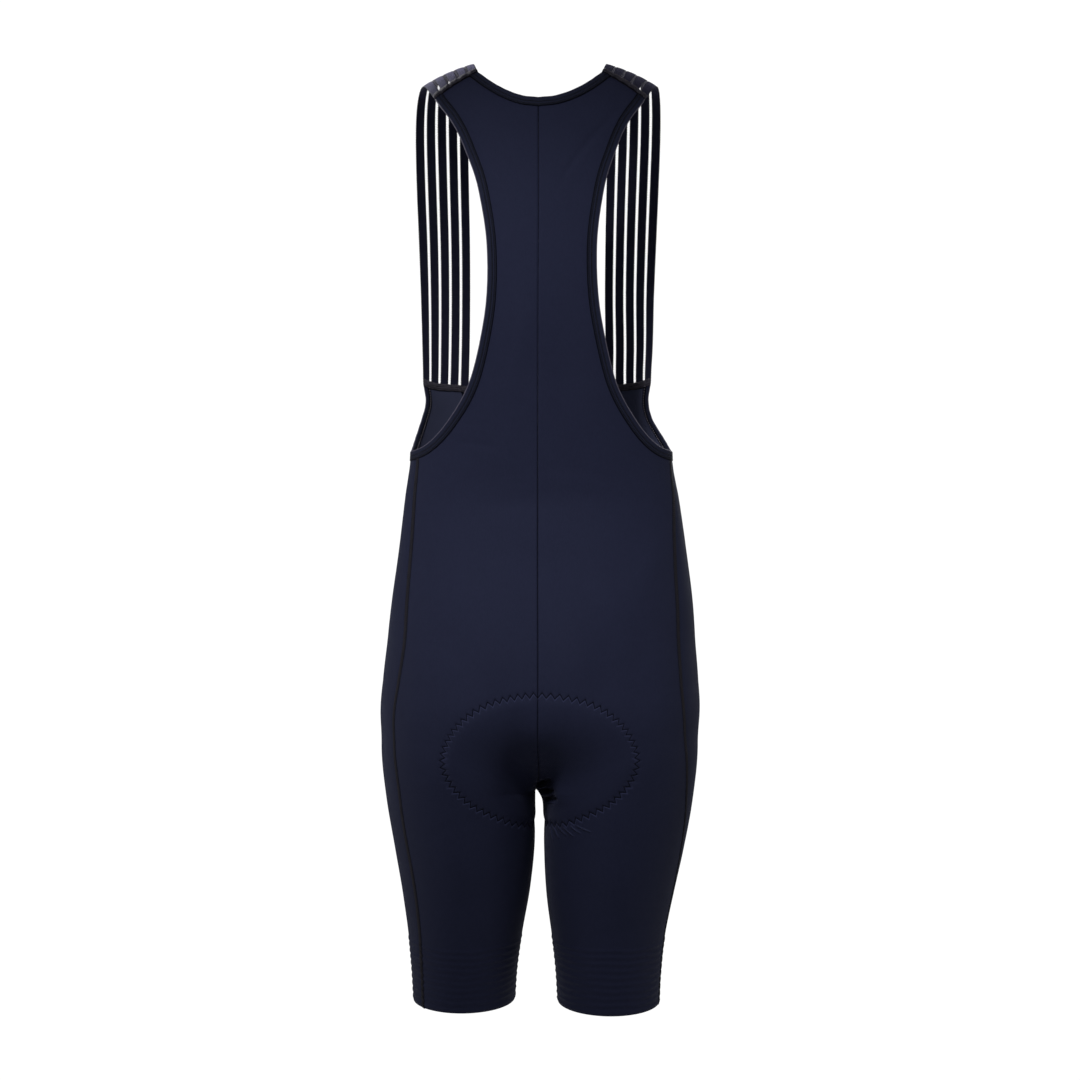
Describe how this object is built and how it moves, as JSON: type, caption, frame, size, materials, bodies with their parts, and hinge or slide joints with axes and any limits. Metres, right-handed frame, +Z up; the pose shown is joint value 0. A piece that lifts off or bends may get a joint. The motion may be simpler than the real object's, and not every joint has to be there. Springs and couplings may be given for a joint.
{
  "type": "cycling bib shorts",
  "caption": "Close-fitting bib shorts with a tall back, shoulder straps, a scooped front, a seat pad and ribbed leg grippers, held out as if worn.",
  "frame": {"origin": "midway between the shoulders, level with the top of the straps where they rest", "axes": "+Z up, the garment's front faces -Y, the wearer's left is +X"},
  "size_m": [0.3161, 0.2218, 0.9306],
  "materials": {
    "navy_knit": "smooth stretch knit with a soft sheen",
    "striped_elastic": "woven elastic with sheer stripes",
    "edge_elastic": "folded elastic, coverstitched",
    "pad_cloth": "brushed, moulded"
  },
  "bodies": {
    "root": {"back_panel_left": "navy_knit", "back_panel_right": "navy_knit", "front_panel_left": "navy_knit", "front_panel_right": "navy_knit", "strap_left": "striped_elastic", "strap_right": "striped_elastic", "neck_band_back": "edge_elastic", "neck_band_front": "edge_elastic", "armhole_band_left": "edge_elastic", "armhole_band_right": "edge_elastic", "seat_pad": "pad_cloth"}
  },
  "joints": []
}
